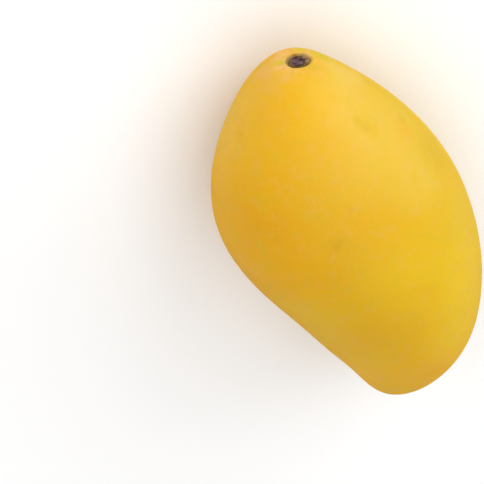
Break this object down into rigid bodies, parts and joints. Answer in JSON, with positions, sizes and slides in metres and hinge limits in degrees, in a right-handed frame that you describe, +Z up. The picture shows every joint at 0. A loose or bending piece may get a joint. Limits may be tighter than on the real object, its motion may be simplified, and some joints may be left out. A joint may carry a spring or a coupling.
{
  "type": "mango",
  "caption": "Whole ripe yellow mango lying on its cheek, with the dark remnant of its broken stalk in a shallow stem cavity.",
  "frame": {"origin": "middle of the small flat spot on the lower cheek that the fruit rests on, with the centre of mass above it", "axes": "+Z up, through the thickness from the resting cheek to the upper cheek; +Y from the stem end to the tip, along the length; +X from the rounded back to the belly, the edge with the full shoulder"},
  "size_m": [0.0757, 0.1264, 0.0638],
  "materials": {
    "skin": "satin",
    "bark": "matte"
  },
  "bodies": {
    "root": {"fruit": "skin", "stem_stub": "bark"}
  },
  "joints": []
}
